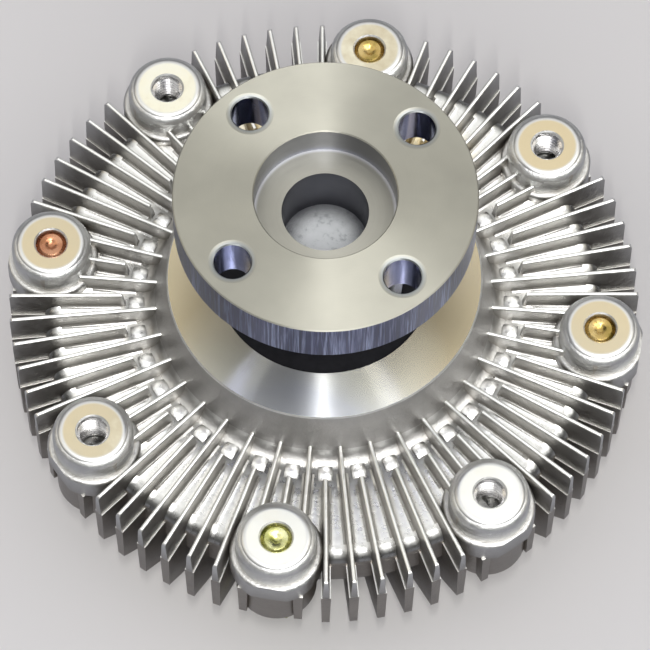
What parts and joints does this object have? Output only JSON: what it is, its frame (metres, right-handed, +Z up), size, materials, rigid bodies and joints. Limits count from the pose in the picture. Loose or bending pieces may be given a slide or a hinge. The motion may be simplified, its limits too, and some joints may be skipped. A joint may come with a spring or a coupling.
{
  "type": "viscous fan clutch",
  "caption": "Finned aluminium viscous fan clutch: a flanged input shaft on a sealed bearing, threaded fan bosses, a labyrinth rotor and a bimetal coil valve.",
  "frame": {"origin": "centre of the circle on which the front cover's fin edges stand", "axes": "+Z up the shaft axis towards the pump flange, +X through a cover bolt"},
  "size_m": [0.1642, 0.1642, 0.0961],
  "materials": {
    "cast_aluminium": "bright as-cast skin with machined hub face and boss faces",
    "zinc_steel": "turned steel with a clear bluish zinc plating",
    "bearing_steel": "ground",
    "black_rubber": "matt",
    "spring_steel": "blackened",
    "yellow_zinc": "iridescent yellow chromate on steel",
    "plain_steel": "plain machined",
    "bimetal": "rolled strip"
  },
  "bodies": {
    "housing": {"rear_housing": "cast_aluminium", "bearing_outer_ring": "bearing_steel", "bearing_rear_seal": "black_rubber", "bearing_front_seal": "black_rubber", "bearing_snap_ring": "spring_steel", "front_cover": "cast_aluminium", "cover_seal": "black_rubber", "cover_bolts": "yellow_zinc", "bolt_washers": "yellow_zinc", "divider_plate": "plain_steel", "divider_screws": "plain_steel", "bimetal_coil": "bimetal", "coil_anchor": "yellow_zinc"},
    "input": {"flange_shaft": "zinc_steel", "bearing_inner_ring": "bearing_steel", "rotor": "cast_aluminium", "rotor_washer": "plain_steel", "rotor_nut": "plain_steel"},
    "cage": {"bearing_cage": "bearing_steel", "bearing_balls": "bearing_steel"},
    "valve": {"valve_shaft": "plain_steel", "valve_arm": "plain_steel", "valve_clip": "spring_steel", "valve_seal": "black_rubber"}
  },
  "joints": [
    {"name": "input_spin", "type": "hinge", "parent": "housing", "child": "input", "pos_m": [0, 0, 0.045], "axis": [0, 0, 1], "continuous": true},
    {"name": "cage_spin", "type": "hinge", "parent": "housing", "child": "cage", "pos_m": [0, 0, 0.045], "axis": [0, 0, 1], "continuous": true},
    {"name": "valve_turn", "type": "hinge", "parent": "housing", "child": "valve", "pos_m": [0, 0, 0.012], "axis": [0, 0, 1], "range_deg": [0, 35], "stiffness_Nm_per_rad": 0.02, "deforming": ["bimetal_coil"]}
  ],
  "couplings": [
    {"joint": "cage_spin", "follows": "input_spin", "ratio": 0.3967}
  ]
}
